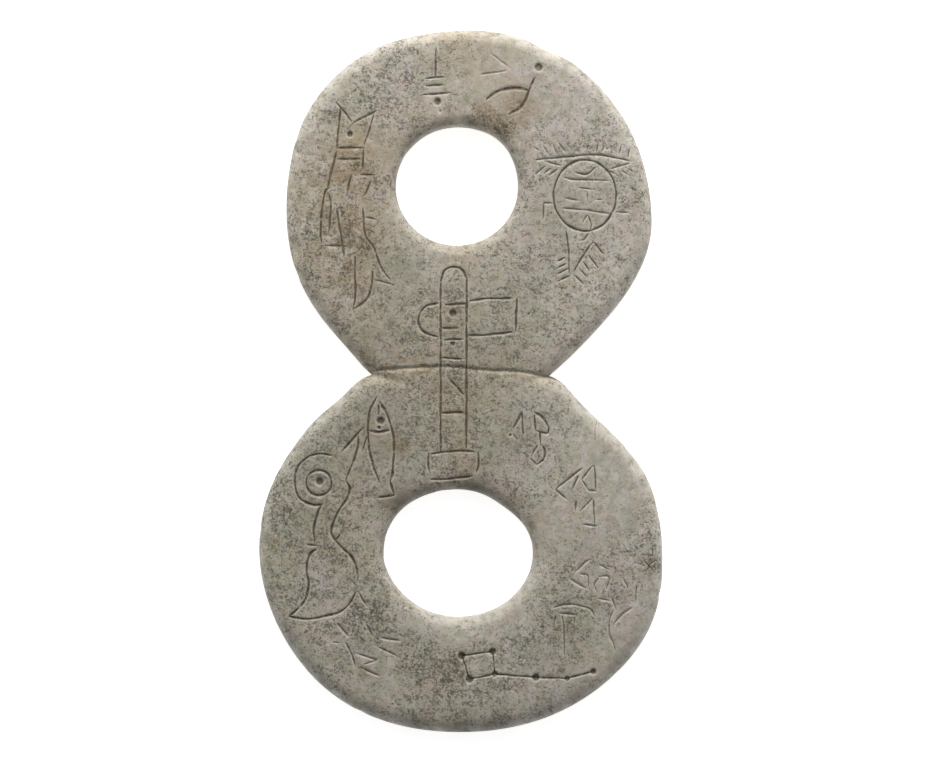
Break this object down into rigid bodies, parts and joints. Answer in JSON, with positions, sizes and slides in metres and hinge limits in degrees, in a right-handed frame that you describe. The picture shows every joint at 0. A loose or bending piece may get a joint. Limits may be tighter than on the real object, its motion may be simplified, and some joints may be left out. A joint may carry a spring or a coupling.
{
  "type": "double bi disc",
  "caption": "Two pierced stone discs joined at a grooved waist, cut from one slab, with worn rims and incised signs and drilled pits on the face.",
  "frame": {"origin": "under the middle of the slab's outer box, on the plain back it lies on", "axes": "+Z out of the carved face, +Y along the slab from the larger disc to the smaller one, +X to the right seen from above with +Y up"},
  "size_m": [0.1152, 0.2006, 0.014],
  "materials": {
    "stone": "matt weathered jade, grey-beige with lavender and green-grey clouds, dark speckle and ochre earth stain in the cuts"
  },
  "bodies": {
    "root": {"double_disc": "stone"}
  },
  "joints": []
}
